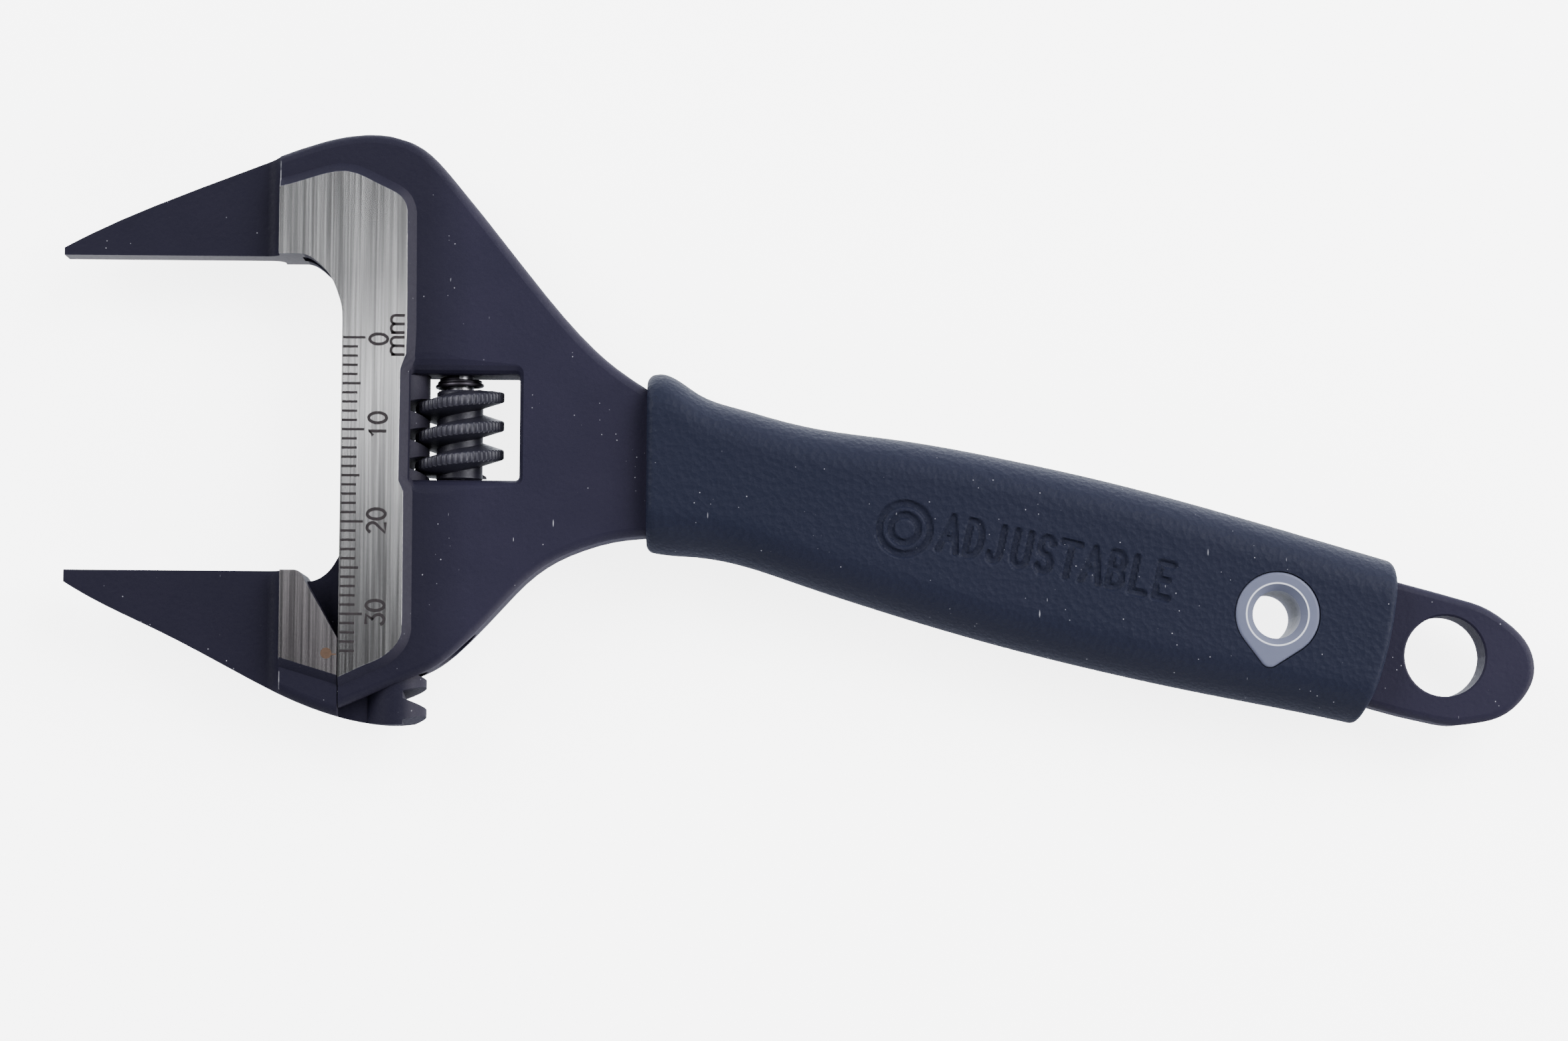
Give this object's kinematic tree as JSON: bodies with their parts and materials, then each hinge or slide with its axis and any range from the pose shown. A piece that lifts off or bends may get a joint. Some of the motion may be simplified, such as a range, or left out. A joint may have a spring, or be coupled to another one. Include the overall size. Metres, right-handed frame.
{
  "type": "adjustable wrench",
  "caption": "Slim-jawed, wide-opening adjustable wrench with a worm-driven sliding jaw, a millimetre scale, a moulded grip, a lanyard eyelet and a hanging hole.",
  "frame": {"origin": "bottom centre of the bounding box, with the tool lying on its rear face and the jaws fully open", "axes": "+X runs along the tool from the jaw tips towards the hanging hole, +Y is the way the moving jaw closes, +Z points out of the ruled face"},
  "size_m": [0.1604, 0.0644, 0.0125],
  "materials": {
    "forged_black": "satin blue-black coating over forged steel; the pads beside the jaws are ground bare",
    "worm_black": "black oxide, fine knurl on the thread crest",
    "pin_steel": "plain turned steel",
    "spring_steel": "drawn wire",
    "grip_rubber": "leather-grained soft elastomer",
    "eyelet_grey": "smooth moulded blue-grey plastic"
  },
  "bodies": {
    "frame": {"wrench_body": "forged_black", "worm_pin": "pin_steel", "worm_spring": "spring_steel", "grip_sleeve": "grip_rubber", "eyelet_front": "eyelet_grey", "eyelet_rear": "eyelet_grey"},
    "jaw": {"moving_jaw": "forged_black"},
    "worm": {"adjusting_worm": "worm_black"}
  },
  "joints": [
    {"name": "jaw_slide", "type": "slide", "parent": "frame", "child": "jaw", "axis": [0, 1, 0], "range_m": [0, 0.03435]},
    {"name": "worm_turn", "type": "hinge", "parent": "frame", "child": "worm", "pos_m": [-0.03702, -0.00055, 0.00626], "axis": [0, 1, 0], "range_deg": [-3937, 0]}
  ],
  "couplings": [
    {"joint": "worm_turn", "follows": "jaw_slide", "rad_per_m": -2000}
  ]
}
